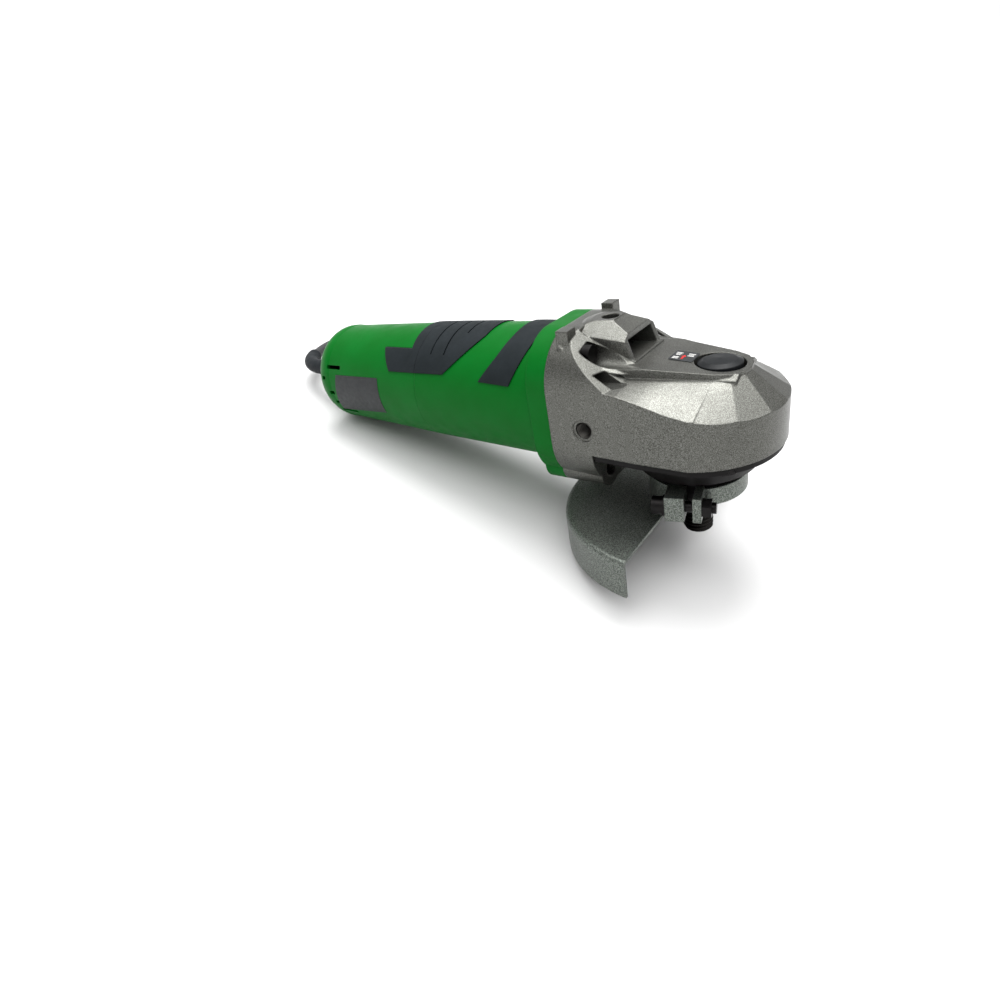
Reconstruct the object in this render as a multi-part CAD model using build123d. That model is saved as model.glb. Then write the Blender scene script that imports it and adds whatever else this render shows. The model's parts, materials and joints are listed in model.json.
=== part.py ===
from build123d import *
import math
import os

# A small corded angle grinder with a 115 mm open wheel guard, standing on the guard's rim and its tail.
# Every piece is modelled in the tool's own axes, mm: X runs forward along the motor shaft, Z runs up
# along the spindle, Y is the user's left, and the origin is where the two shafts cross.  stand() then
# tips the whole tool nose-up on to the floor.  The cord's loose pieces are modelled on the floor.

# ---- body ----
GEAR_CASE_X = -56.0  # joint between the gear case and the motor housing
SEAM_X = -143.0  # joint between the motor housing and the tail cover
TAIL_X = -236.0  # rear face of the tail cover
TAIL_SHOULDER_X = -219.0
TAIL_FACE_R = 17.0
TAIL_SHOULDER_R = 28.7
SEAM_R = 31.8
BARREL_X = -80.0
BARREL_R = 33.4
SHELL = 2.6  # wall of both plastic shells
FLANGE_X = -66.0  # rear edge of the motor housing's square flange
FLANGE_HALF_Y = 34.5
FLANGE_TOP = 36.5
FLANGE_BOTTOM = -36.0
FLANGE_CORNER = 24.0
TAIL_SCREW_X = -152.0
TAIL_SLOTS = (  # degrees from the top, then rear and front x
    (64, -220.5, -208.0),
    (78, -226.0, -222.5),
    (96, -221.5, -217.5),
    (110, -220.5, -216.5),
    (124, -220.5, -206.0),
)
GRIP_PROUD = 0.6
GRIP_SUNK = 1.0

# ---- gear case ----
NOSE_R = 38.0
NOSE_HALF_Y = 36.6
WALL_WIDEST_X = -12.8  # the side walls spread from the flange to here
NOSE_BOTTOM = -14.5
NOSE_TOP = 24.0
NOSE_REAR_X = -34.5  # front face of the lower flange, where the nose's flat underside starts
SHOULDER_PLANE = ((-43, -28.5, 29.5), (-23.1, -33, 15.4), (-24.7, -20, 20.1))  # the slope beside the plateau
NOSE_FACET = (  # x, then y and z of the facet's upper edge and z of its lower edge on the side wall
    (-34.5, 23.4, 18.2, 17.2),
    (-20.0, 20.8, 17.7, 15.5),
    (-11.0, 19.0, 17.4, 13.4),
    (1.0, 16.6, 17.0, 9.8),
    (12.7, 14.2, 16.6, 7.5),
)
FRONT_FACET = (  # degrees round from straight ahead, then the same seen from the axis at FRONT_FACET_X
    (90, 14.2, 35.8, 16.6, 7.5),
    (62, 13.0, 30.3, 16.6, 5.9),
    (30, 11.5, 26.5, 16.7, 5.0),
    (0, 10.8, 25.3, 16.8, 4.8),
)
FRONT_FACET_X = 12.7
SCREW_TUBE_PLANE = ((-36, -20, 27.2), (-46, -20, 32.0), (-36, -10, 31.2))  # the slope of its open end
SCREW_TUBE_R = 7.6
SCREW_BORE_R = 5.5
RIDGE_PLANE = ((-34.5, -10, 23.3), (-34.5, 10, 23.3), (21.5, 0, 18.1))  # three points of the ridge's flat top
GASKET = 0.5
COVER_FLANGE = 2.5
COVER_TOP = NOSE_BOTTOM - GASKET
CHAMBER_R = 25.6
CHAMBER_TOP = 7.5
FAN_CAVITY_R = 30.5
FAN_CAVITY_X = -43.5
UPPER_SCREWS = ((20.0, 27.0), (-20.0, 27.0))  # y, z of the long case screws
LOWER_SCREWS = ((19.0, -28.0), (-19.0, -28.0))
CASE_SCREW_R = 2.15
COVER_SCREWS = ((22.5, 24.0), (22.5, -24.0), (-25.0, 27.5), (-25.0, -27.5))  # x, y under the nose
HANDLE_THREAD_R = 4.0  # M8
SIDE_HANDLE = (-37.9, -2.8)  # x, z of the two side holes
TOP_HANDLE_X = -38.8
HANDLE_DEPTH = 11.0

# ---- spindle and gears ----
SPINDLE_TIP = -66.0
THREAD_R = 7.0  # M14
THREAD_LENGTH = 18.0
SPINDLE_JOURNAL_R = 6.0
SPINDLE_TOP_R = 4.0
SPINDLE_TOP = 7.0
RING_TEETH = 41
PINION_TEETH = 11
MODULE = 1.1
FACE_WIDTH = 7.0
ADDENDUM = 0.8
DEDENDUM = 1.15
RUNNING = 0.05  # radial play of a shaft in its bearing
SEATED = 0.02  # play between pieces that sit on one another

# ---- lock button ----
BUTTON_X = 10.5
BUTTON_R = 9.3
BUTTON_TOP = 20.9
BUTTON_TRAVEL = 4.5
LOCK_PIN_R = 2.5

# ---- switch and cord clamp ----
SWITCH_SLOT = ((-176.0, 15.5), (-150.0, 20.5))  # x and z of the slot for the knob's neck
KNOB_X = (-174.0, -159.5)
SWITCH_STRIP_Y = 17.0
CLAMP_BAR_X = -212.0
CLAMP_BAR_SCREW_Y = 11.8

# ---- motor ----
FAN_X = (-55.0, -46.0)
STATOR_X = (-112.0, -74.0)
STATOR_R = 27.0
STATOR_SCREWS = ((0.0, 23.5), (0.0, -23.5))
ARMATURE_R = 15.1
COMMUTATOR_X = (-132.0, -119.0)
COMMUTATOR_R = 10.0
BRUSH_X = -125.5
SHAFT_R = 4.0
SHAFT_TIP_R = 2.5  # M5 end that carries the pinion and its nut
PINION_FRONT = -15.2
FRONT_BEARING_X = (-38.0, -30.0)
PLATE_SCREWS = ((16.5, 0.0), (-16.5, 0.0))
REAR_BEARING_X = (-146.5, -139.5)

# ---- guard ----
GUARD_R = 63.75
GUARD_TOP = -47.5
GUARD_SKIRT = 19.0
GUARD_SHEET = 1.6
GUARD_EDGE_X = -7.7
NECK_R = 20.5
NECK_BOTTOM = -41.5
BAND_R = 22.3
BAND_TOP = -32.0
BAND_BOTTOM = -40.5
EAR_AZIMUTH = -76.0
CLAMP_R = 27.5
CLAMP_Z = -37.5

# ---- cord ----
CORD_R = 3.5
BOOT_BEND_X = -262.0
BOOT_BEND_R = 36.0
BOOT_TURN = 60.0
BOOT_END_R = 4.8
COIL_CENTRE = (-10.0, 92.0)
COIL_MEAN_R = 38.5
COIL_WIDTH = 21.0
COIL_HEIGHT = 21.0
CORD_FLOOR_Z = 3.6


# ---------------------------------------------------------------- shape helpers
def rod(radius, start, end, y=0.0, z=0.0):
    """A cylinder along X from start to end."""
    return Pos((start + end) / 2, y, z) * Rot(0, 90, 0) * Cylinder(radius, abs(end - start))


def post(radius, bottom, top, x=0.0, y=0.0):
    """A cylinder along Z from bottom to top."""
    return Pos(x, y, (bottom + top) / 2) * Cylinder(radius, top - bottom)


def pin_y(radius, start, end, x, z):
    """A cylinder along Y from start to end."""
    return Pos(x, (start + end) / 2, z) * Rot(90, 0, 0) * Cylinder(radius, abs(end - start))


def block(low, high):
    """A box between two corners."""
    centre = [(a + b) / 2 for a, b in zip(low, high)]
    return Pos(*centre) * Box(*[b - a for a, b in zip(low, high)])


def turned_x(points):
    """A solid turned about X from (x, r) corners."""
    return revolve(make_face(Polyline(*points, close=True)), Axis.X)


def turned_z(points):
    """A solid turned about Z from (r, z) corners."""
    return revolve(Plane.XZ * make_face(Polyline(*points, close=True)), Axis.Z)


def across(x):
    """The plane at x, seen from the front, with its own axes along Y and Z."""
    return Plane(origin=(x, 0, 0), x_dir=(0, 1, 0), z_dir=(1, 0, 0))


def side_prism(points, low_y, high_y):
    """A prism along Y over a side-view outline of (x, z) corners."""
    face = Plane.XZ * make_face(Polyline(*points, close=True))
    return Pos(0, high_y, 0) * extrude(face, high_y - low_y)


def above(a, b, c):
    """Everything above the plane through three points."""
    normal = (Vector(*b) - Vector(*a)).cross(Vector(*c) - Vector(*a))
    if normal.Z < 0:
        normal = -normal
    return Plane(origin=a, z_dir=normal) * Pos(0, 0, 40) * Box(300, 300, 80)


def both_sides(shape):
    """A shape and its mirror image across the tool's middle plane."""
    return shape + mirror(shape, Plane.XZ)


def around_x(shape, count):
    """A shape repeated evenly about the motor shaft."""
    return [Rot(360 * i / count, 0, 0) * shape for i in range(count)]


def group(solids):
    """Separate solids kept in one node."""
    return Compound(children=[s for shape in solids for s in shape.solids()])


def barrel(grow=0.0):
    """The body's turned outline from the rounded tail to the gear case, grown outwards by grow."""
    face_x = TAIL_X - grow
    shoulder = (TAIL_SHOULDER_X, TAIL_SHOULDER_R + grow)
    rim = (face_x, TAIL_FACE_R)
    mid = (TAIL_X + 5.0 - 0.75 * grow, 25.6 + 0.7 * grow)
    outline = [
        Line((face_x, 0), rim),
        ThreePointArc(rim, mid, shoulder),
        Line(shoulder, (SEAM_X, SEAM_R + grow)),
        Line((SEAM_X, SEAM_R + grow), (BARREL_X, BARREL_R + grow)),
        Line((BARREL_X, BARREL_R + grow), (GEAR_CASE_X, BARREL_R + grow)),
        Line((GEAR_CASE_X, BARREL_R + grow), (GEAR_CASE_X, 0)),
        Line((GEAR_CASE_X, 0), (face_x, 0)),
    ]
    return revolve(make_face(Curve() + outline), Axis.X)


def wall_half_y(x):
    """Half the gear case's width at x, from the flange to its widest place."""
    share = (x - GEAR_CASE_X) / (WALL_WIDEST_X - GEAR_CASE_X)
    return FLANGE_HALF_Y + (NOSE_HALF_Y - FLANGE_HALF_Y) * share


def flange_section(x, half_y=FLANGE_HALF_Y):
    """The rounded-square outline shared by the gear case and the motor housing."""
    middle = (FLANGE_TOP + FLANGE_BOTTOM) / 2
    outline = RectangleRounded(2 * half_y, FLANGE_TOP - FLANGE_BOTTOM, FLANGE_CORNER)
    return across(x) * (Pos(0, middle) * outline)


def foot_lobes(start, end):
    """The two rounded corners under the flange that carry the lower case screws."""
    return [rod(9.5, start, end, y, z) for y, z in LOWER_SCREWS]


# ---------------------------------------------------------------- body shells
MAIN_GRIP = ((-152, 40), (-149, 25), (-171, 24.6), (-163.5, 14.3), (-122.5, 15.5), (-102.7, 31), (-99, 40))
FRONT_STRIPE = (
    (-98, 14), (-79, 13.4), (-75.7, 20.4), (-71.1, 31), (-66.5, 40), (-82, 40), (-85.5, 31.5), (-89.4, 24.7)
)
BADGE = ((-212.2, 8.6), (-173.7, 9.8), (-174.5, -11.8), (-219, -15.5))


def skin(outline, low_y=-45.0, high_y=45.0):
    """A soft layer let into the shell, over a side-view outline."""
    layer = barrel(GRIP_PROUD) - barrel(-GRIP_SUNK)
    return layer & side_prism(outline, low_y, high_y)


def pocket(outline, low_y=-45.0, high_y=45.0):
    """The recess that a soft layer sits in."""
    return (barrel(2.0) - barrel(-GRIP_SUNK - SEATED)) & side_prism(outline, low_y, high_y)


def slice_x(shape, start, end):
    """The part of a shape between two planes across X."""
    return shape & block((start, -60, -60), (end, 60, 60))


def motor_housing():
    outer = slice_x(barrel(), SEAM_X, GEAR_CASE_X) + extrude(flange_section(FLANGE_X), GEAR_CASE_X - FLANGE_X)
    for lobe in foot_lobes(FLANGE_X, GEAR_CASE_X):
        outer += lobe
    shell = outer - slice_x(barrel(-SHELL), SEAM_X - 1, -57.0) - rod(FAN_CAVITY_R, -60, -50)
    rib = block((STATOR_X[0] - 4, STATOR_R + 0.1, -3), (STATOR_X[1], 31.0, 3))
    for one in around_x(rib, 8):
        shell += one
    seat = rod(14.5, *REAR_BEARING_X) - rod(11.0 + SEATED, REAR_BEARING_X[0] - 1, REAR_BEARING_X[1] - 1.0)
    seat -= rod(5.0, REAR_BEARING_X[1] - 2, REAR_BEARING_X[1] + 1)
    shell += seat
    spoke = block((REAR_BEARING_X[0] + 3.5, 14.0, -2.5), (REAR_BEARING_X[1], 30.5, 2.5))
    for one in around_x(spoke, 6):
        shell += one
    for y, z in UPPER_SCREWS + LOWER_SCREWS:
        shell -= rod(CASE_SCREW_R + SEATED, FLANGE_X + 1, GEAR_CASE_X + 1, y, z)
    shell += block((TAIL_SCREW_X - 6, -5, -15.9), (-141, 5, -11.6))
    shell -= post(1.5 + SEATED, -20, -12.4, x=TAIL_SCREW_X)
    shell -= rod(STATOR_R + 0.1, STATOR_X[0] - 4, STATOR_X[1])
    shell -= pocket(MAIN_GRIP) + pocket(FRONT_STRIPE)
    return shell


def tail_cover():
    cover = slice_x(barrel(), TAIL_X, SEAM_X - 0.1) - slice_x(barrel(-SHELL), TAIL_X + SHELL, SEAM_X + 1)
    cover -= rod(8.0, TAIL_X - 1, TAIL_X + 8)
    cover -= block((SWITCH_SLOT[0][0], 15, SWITCH_SLOT[0][1]), (SWITCH_SLOT[1][0], 40, SWITCH_SLOT[1][1]))
    for angle, start, end in TAIL_SLOTS:
        cover -= both_sides(Rot(angle, 0, 0) * block((start, -1.1, 20), (end, 1.1, 40)))
    cover += post(5.0, -31.5, -16.0, x=TAIL_SCREW_X) & barrel(-0.5)
    cover -= post(1.6, -40.0, -15.0, x=TAIL_SCREW_X) + post(4.0, -40.0, -26.0, x=TAIL_SCREW_X)
    cover -= pocket(MAIN_GRIP) + pocket(BADGE)
    clamp_posts = both_sides(block((CLAMP_BAR_X - 5, 7.5, -24.0), (CLAMP_BAR_X + 5, 15.5, -5.2)))
    clamp_posts -= both_sides(post(1.5 + SEATED, -14, 0, x=CLAMP_BAR_X, y=CLAMP_BAR_SCREW_Y))
    return cover + (clamp_posts & barrel(-0.5))


def split_grip(start, end):
    return slice_x(skin(MAIN_GRIP), start, end)


def main_grip():
    """Ribbed soft grip over the motor housing, with three grooves across the top."""
    grip = split_grip(SEAM_X + 0.1, -90)
    for x, half_angle in ((-133.5, 44), (-124.2, 44), (-115.5, 18.6)):
        depth = GRIP_PROUD + 0.5
        ring = rod(45, x - 0.5, x + 0.5) - rod(BARREL_R - 0.9 + GRIP_PROUD - depth, x - 1, x + 1)
        width = 45 * math.tan(math.radians(half_angle))
        wedge = Polyline((0, 0), (width, 45), (-width, 45), close=True)
        grip -= ring & extrude(across(x - 1) * make_face(wedge), 2)
    return grip


def rear_grip(left):
    """The rectangular rear part of the grip on the tail cover, one on each side."""
    grip = split_grip(-180, SEAM_X - 0.1)
    side = block((-200, 0, -50), (-100, 50, 50)) if left else block((-200, -50, -50), (-100, 0, 50))
    grip &= side
    if left:
        grip -= block((SWITCH_SLOT[0][0], 15, SWITCH_SLOT[0][1]), (SWITCH_SLOT[1][0], 40, SWITCH_SLOT[1][1]))
    return grip


def front_stripe():
    return skin(FRONT_STRIPE)


def badge_plates():
    """Blank plates on both flanks of the tail cover."""
    plate = barrel(0.15) - barrel(-GRIP_SUNK)
    return group([plate & side_prism(BADGE, -45, -5), plate & side_prism(BADGE, 5, 45)])


def tail_screw():
    """Screw up through the tail cover into the motor housing's tongue."""
    return post(3.6, -30.3, -26.02, x=TAIL_SCREW_X) + post(1.5, -26.5, -12.6, x=TAIL_SCREW_X)


# ---------------------------------------------------------------- gear case
def nose_plan(bottom, top, inset=0.0):
    """The nose's plan outline, a tongue whose side walls spread a little and whose front is round."""
    rear = NOSE_REAR_X + inset
    half = [(rear, wall_half_y(rear) - inset), (WALL_WIDEST_X, NOSE_HALF_Y - inset), (8, NOSE_HALF_Y - inset)]
    tongue = make_face(Polyline(*half, *[(x, -y) for x, y in reversed(half)], close=True))
    outline = post(NOSE_R - inset, bottom, top) & block((8 - NOSE_R, -60, bottom), (50, 60, top))
    outline &= block((-60, inset - NOSE_HALF_Y, bottom), (60, NOSE_HALF_Y - inset, top))
    outline &= block((8, -60, bottom), (60, 60, top))
    return outline + extrude(Pos(0, 0, bottom) * tongue, top - bottom)


def ridge_section(x, base_y, base_z, top_y, top_z):
    """The ridge's cut at x: a flat top with a bevel down each side."""
    half = [(base_y, 5), (base_y, base_z), (top_y, top_z)]
    outline = half + [(-y, z) for y, z in reversed(half)]
    return across(x) * make_face(Polyline(*outline, close=True))


def facet_section(upper, side, upper_z, side_z):
    """What a facet cuts off in one upright plane, from the ridge's foot out past the wall."""
    past_z = side_z - 4 * (upper_z - side_z) / (side - upper)
    return make_face(Polyline((upper, upper_z), (side + 4, past_z), (side + 4, 50), (upper, 50), close=True))


def upright_plane(turn):
    """The upright plane through the front facet's axis, turned round from straight ahead."""
    angle = math.radians(turn)
    out, across_it = (math.cos(angle), math.sin(angle), 0), (math.sin(angle), -math.cos(angle), 0)
    return Plane(origin=(FRONT_FACET_X, 0, 0), x_dir=out, z_dir=across_it)


def nose():
    """The nose: a long twisting facet round the sides and front, and a bevelled ridge in the middle."""
    shape = nose_plan(NOSE_BOTTOM, NOSE_TOP) - above(*RIDGE_PLANE)
    sides = [across(x) * facet_section(y, NOSE_HALF_Y, z, side_z) for x, y, z, side_z in NOSE_FACET]
    shape -= both_sides(loft(sides, ruled=True))
    turns = [(-turn, cut) for turn, *cut in FRONT_FACET[:-1]]
    turns += [(turn, cut) for turn, *cut in reversed(FRONT_FACET)]
    cuts = [upright_plane(turn) * facet_section(*cut) for turn, cut in turns]
    for first, second in zip(cuts, cuts[1:]):
        shape -= loft([first, second], ruled=True)
    rear, front = ridge_section(NOSE_REAR_X, 23, 18.3, 14, 23.3), ridge_section(21.5, 12.8, 16.2, 9.8, 18.1)
    return shape + loft([rear, front], ruled=True)


def shoulder_pocket():
    """The recess under the plateau's front edge, round the post that carries the top handle's thread."""
    recess = block((-37, -11.5, 23.0), (-14, 11.5, 31.0)) - post(6.8, 20, 35, x=TOP_HANDLE_X)
    windows = both_sides(block((FAN_CAVITY_X - 1, 4.6, 23.0), (-36, 11.5, 30.0)))
    return recess + windows


def rear_block():
    """The square rear of the gear case, with a plateau round the top hole and sloping shoulders beside it."""
    front = NOSE_REAR_X + 14
    shape = loft([flange_section(GEAR_CASE_X), flange_section(front, wall_half_y(front))], ruled=True)
    shape -= block((NOSE_REAR_X, -60, -60), (0, 60, NOSE_BOTTOM))
    for lobe in foot_lobes(GEAR_CASE_X, NOSE_REAR_X):
        shape += lobe
    dome = turned_z([(0, 37.7), (8, 37.7), (11, 37.2), (20, 33.6), (20, 20), (0, 20)])
    shape += Pos(TOP_HANDLE_X, 0, 0) * dome & block((GEAR_CASE_X, -15.5, 0), (-26, 15.5, 60))
    front_slope = [(-34.5, 60), (-34.5, 37.3), (-25.5, 33.4), (-25.5, 31.6), (-22.5, 23.2), (0, 19), (0, 60)]
    shape -= side_prism(front_slope, -16, 16)
    plateau_side = above((-50, -9, 37.2), (-26, -9, 34.3), (-40, -16, 31.8))
    shape -= both_sides(plateau_side & block((-46.5, -14.6, 0), (0, 0, 60)))
    shoulder = above(*SHOULDER_PLANE) & block((-60, -60, 0), (0, -14.5, 60))
    shape -= both_sides(shoulder)
    _, (y, z) = UPPER_SCREWS
    shape += both_sides(rod(SCREW_TUBE_R, -52, -18, y, z) - above(*SCREW_TUBE_PLANE))
    shape += both_sides(block((-53.0, -24.5, 20), (-47.0, -17.5, 38.3)))
    return shape


def gear_case():
    case = rear_block() + nose()
    case -= rod(FAN_CAVITY_R, GEAR_CASE_X - 1, FAN_CAVITY_X)
    case -= post(CHAMBER_R, NOSE_BOTTOM - 1, CHAMBER_TOP)
    case += post(7.6, -2.0, CHAMBER_TOP + 1)
    case -= post(6.0 + SEATED, -3.0, SPINDLE_TOP + 0.3)
    case -= rod(13.0 + SEATED, FAN_CAVITY_X - 1, FRONT_BEARING_X[1]) + rod(8.5, -32, -18)
    case -= post(10.6, 9.5, 40, x=BUTTON_X) + post(LOCK_PIN_R + RUNNING, 5, 12, x=BUTTON_X)
    case -= shoulder_pocket()
    for y, z in UPPER_SCREWS:
        case -= rod(SCREW_BORE_R, -42, 0, y, z) + rod(2.7, GEAR_CASE_X - 1, -40, y, z)
    for y, z in LOWER_SCREWS:
        case -= rod(4.8, -42, -30, y, z) + rod(2.7, GEAR_CASE_X - 1, -40, y, z)
    case -= both_sides(block((FAN_CAVITY_X - 1, -31.0, 16.6), (-20, -25.0, 22.0)))
    x, z = SIDE_HANDLE
    case -= both_sides(pin_y(HANDLE_THREAD_R, -NOSE_HALF_Y - 1, HANDLE_DEPTH - FLANGE_HALF_Y, x, z))
    case -= both_sides(pin_y(5.2, -NOSE_HALF_Y - 1, -FLANGE_HALF_Y, x, z))
    case -= post(HANDLE_THREAD_R, 37.7 - HANDLE_DEPTH, 40, x=TOP_HANDLE_X)
    for x, y in COVER_SCREWS:
        case -= post(1.8, NOSE_BOTTOM - 1, -4.0, x=x, y=y)
    return case


def gasket():
    sheet = nose_plan(COVER_TOP, NOSE_BOTTOM, 0.8) - post(CHAMBER_R, -20, -10)
    for x, y in COVER_SCREWS:
        sheet -= post(2.4, -20, -10, x=x, y=y)
    return sheet


def bearing_cover():
    """Black cover under the gear case, with the round neck that carries the guard."""
    bottom = COVER_TOP - COVER_FLANGE
    cover = nose_plan(bottom, COVER_TOP, 1.0)
    cover += turned_z([
        (0, bottom + 1), (31, bottom + 1), (31, bottom), (27, -27), (NECK_R, -30), (NECK_R, NECK_BOTTOM),
        (0, NECK_BOTTOM),
    ])
    cover -= post(16.0 + SEATED, -28.0, -10)
    cover -= post(10.4, -50, -20)
    for x, y in COVER_SCREWS:
        cover -= post(2.4, -30, -10, x=x, y=y) + post(4.2, -40, bottom + 1.5, x=x, y=y)
    return cover


def cover_screws():
    """Four pan-head screws up through the bearing cover."""
    head_top = COVER_TOP - COVER_FLANGE + 1.5
    screw = post(3.6, head_top - 2.4, head_top - SEATED) + post(1.75, head_top - 1, -5.0)
    return group([Pos(x, y, 0) * screw for x, y in COVER_SCREWS])


def case_screws():
    """Four long screws from the gear case into the motor housing's flange."""
    screw = rod(4.2, -42 + SEATED, -38) + rod(CASE_SCREW_R, FLANGE_X + 2, -41)
    return group([Pos(0, y, z) * screw for y, z in UPPER_SCREWS + LOWER_SCREWS])


def arrow_label():
    """Blank rectangular label plate on the ridge behind the button."""
    (rear_x, _, rear_z), _, (front_x, _, front_z) = RIDGE_PLANE
    slope = (front_z - rear_z) / (front_x - rear_x)
    x = -5.0
    height = rear_z + slope * (x - rear_x) + SEATED
    plane = Plane(origin=(x, 0, height), x_dir=(1, 0, slope), z_dir=(-slope, 0, 1))
    return plane * extrude(RectangleRounded(10.5, 10.5, 0.8), 0.25)


# ---------------------------------------------------------------- spindle lock
def lock_button():
    """Domed push cap with a hollow underside for the spring."""
    top = BUTTON_TOP
    cap = turned_z([(0, 16.4), (BUTTON_R, 16.4), (BUTTON_R, top - 1.6), (BUTTON_R - 2.5, top - 0.5), (0, top)])
    skirt = post(BUTTON_R, 14.6, 16.5) - post(7.0, 14, 18)
    return Pos(BUTTON_X, 0, 0) * (cap + skirt)


def lock_pin():
    return post(LOCK_PIN_R, -7.0, 16.4 - SEATED, x=BUTTON_X)


def lock_spring():
    """The return spring's space as a thin sleeve round the pin."""
    return post(5.0, 9.6, 16.3, x=BUTTON_X) - post(3.6, 9, 17, x=BUTTON_X)


def button_seal():
    """Rubber dust ring in the case around the cap."""
    return post(10.55, 9.6, 14.4, x=BUTTON_X) - post(9.5, 9, 20, x=BUTTON_X)


# ---------------------------------------------------------------- spindle and gears
PITCH_RING = math.atan2(RING_TEETH, PINION_TEETH)
PITCH_PINION = math.pi / 2 - PITCH_RING
CONE_OUTER = MODULE * RING_TEETH / 2 / math.sin(PITCH_RING)
CONE_INNER = CONE_OUTER - FACE_WIDTH
TIP_ANGLE = math.atan2(MODULE * ADDENDUM, CONE_OUTER)
ROOT_ANGLE = math.atan2(MODULE * DEDENDUM, CONE_OUTER)
TOOTH_SHARE = 0.40  # tooth thickness at the pitch circle as a share of the pitch
FLANK = math.radians(20)


def cone_point(distance, opening, turn):
    """A point at a distance from the cones' shared apex, opening away from -Z, turned about Z."""
    radius = distance * math.sin(opening)
    return (radius * math.cos(turn), radius * math.sin(turn), -distance * math.cos(opening))


def bevel_tooth(pitch_angle):
    """One straight bevel tooth, narrowing towards the apex, for a gear whose axis is -Z."""
    half = TOOTH_SHARE * math.pi * MODULE / 2
    sunk = 0.35
    faces = []
    for distance in (CONE_OUTER, CONE_INNER):
        scale = distance / CONE_OUTER
        corners = []
        root = pitch_angle - ROOT_ANGLE * (1 + sunk)
        for opening, rise in ((root, -DEDENDUM), (pitch_angle + TIP_ANGLE, ADDENDUM)):
            thick = (half - rise * MODULE * math.tan(FLANK)) * scale
            turn = thick / (distance * math.sin(opening))
            corners.append([cone_point(distance, opening, side * turn) for side in (-1, 1)])
        (root_a, root_b), (tip_a, tip_b) = corners
        faces.append(make_face(Polyline(root_a, root_b, tip_b, tip_a, close=True)))
    return loft(faces, ruled=True)


def ring_gear():
    root = PITCH_RING - ROOT_ANGLE
    outer_r, _, outer_z = cone_point(CONE_OUTER, root, 0)
    inner_r, _, inner_z = cone_point(CONE_INNER, root, 0)
    bore = 5.5 + SEATED
    blank = turned_z([
        (bore, -17.6), (7.6, -17.6), (7.6, -14.2), (21.0, -14.2), (outer_r + 0.9, outer_z - 2.4),
        (outer_r, outer_z), (inner_r, inner_z), (15.0, -8.2), (7.4, -8.2), (7.4, -5.0), (bore, -5.0),
    ])
    tooth = bevel_tooth(PITCH_RING)
    step = 360 / RING_TEETH
    gear = blank + [Rot(0, 0, 180 + step * (i + 0.5)) * tooth for i in range(RING_TEETH)]
    for i in range(6):
        gear -= Rot(0, 0, 60 * i) * post(LOCK_PIN_R + 0.35, -16, -5, x=BUTTON_X)
    return gear - block((4.0, -1.27, -15), (6.72, 1.27, -4.9))


def pinion():
    root = PITCH_PINION - ROOT_ANGLE
    outer_r, _, outer_z = cone_point(CONE_OUTER, root, 0)
    inner_r, _, inner_z = cone_point(CONE_INNER, root, 0)
    wide, narrow = SHAFT_R + SEATED, SHAFT_TIP_R + SEATED
    blank = turned_z([
        (wide, -29.3), (6.2, -29.3), (6.2, outer_z - 1.2), (outer_r, outer_z), (inner_r, inner_z),
        (inner_r, PINION_FRONT), (narrow, PINION_FRONT), (narrow, -24.5), (wide, -24.5),
    ])
    tooth = bevel_tooth(PITCH_PINION)
    gear = blank + [Rot(0, 0, 360 * i / PINION_TEETH) * tooth for i in range(PINION_TEETH)]
    return Rot(0, 90, 0) * gear


def spindle():
    tip = SPINDLE_TIP
    shape = turned_z([
        (0, tip), (THREAD_R - 1.2, tip), (THREAD_R, tip + 1.2), (THREAD_R, tip + THREAD_LENGTH),
        (9.6, tip + THREAD_LENGTH), (9.6, -28.6), (7.8, -28.6), (7.8, -28.0), (SPINDLE_JOURNAL_R, -28.0),
        (SPINDLE_JOURNAL_R, -17.7), (5.5, -17.7), (5.5, -3.9), (SPINDLE_TOP_R, -3.9), (SPINDLE_TOP_R, SPINDLE_TOP), (0, SPINDLE_TOP),
    ])
    shape -= both_sides(block((-12, 8.5, tip), (12, 12, -42.5)))
    shape -= block((4.0, -1.27, -13), (6, 1.27, -6))
    return shape - (post(6.5, -4.95, -4.0) - post(4.9, -6, -3))


def gear_key():
    return block((4.02, -1.25, -12.98), (6.7, 1.25, -6.02))


def spindle_circlip():
    ring = post(6.6, -4.93, -4.05) - post(4.92, -6, -3)
    return ring - block((0, -1.5, -6), (8, 1.5, -3))


def ball_bearing(bore_r, outer_r, width, balls):
    """Outer ring, inner ring and balls of a deep-groove bearing, centred on the origin along Z."""
    wall = (outer_r - bore_r) * 0.28
    ball_r = (outer_r - bore_r) * 0.24
    middle = (outer_r + bore_r) / 2
    half = width / 2
    groove = revolve(Pos(middle, 0, 0) * (Plane.XZ * Circle(ball_r + 0.06)), Axis.Z)
    outer = Cylinder(outer_r, width) - Cylinder(outer_r - wall, width) - groove
    inner = Cylinder(bore_r + wall, width) - Cylinder(bore_r, width) - groove
    ball = Pos(middle, 0, 0) * Sphere(ball_r)
    shield_ring = Cylinder(outer_r - wall, 0.4) - Cylinder(bore_r + wall + 0.2, 0.4)
    shields = [Pos(0, 0, side * (half - 0.25)) * shield_ring for side in (-1, 1)]
    return group([outer, inner, *shields] + [Rot(0, 0, 360 * i / balls) * ball for i in range(balls)])


def spindle_bearing():
    return Pos(0, 0, -23.0) * ball_bearing(SPINDLE_JOURNAL_R + RUNNING, 16.0, 10.0, 7)


def spindle_bush():
    return post(6.0, -1.5, 6.5) - post(SPINDLE_TOP_R + RUNNING, -3, 8)


# ---------------------------------------------------------------- motor
def front_bearing():
    middle = sum(FRONT_BEARING_X) / 2
    return Pos(middle, 0, 0) * Rot(0, 90, 0) * ball_bearing(5.0 + RUNNING, 13.0, 7.9, 8)


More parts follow.
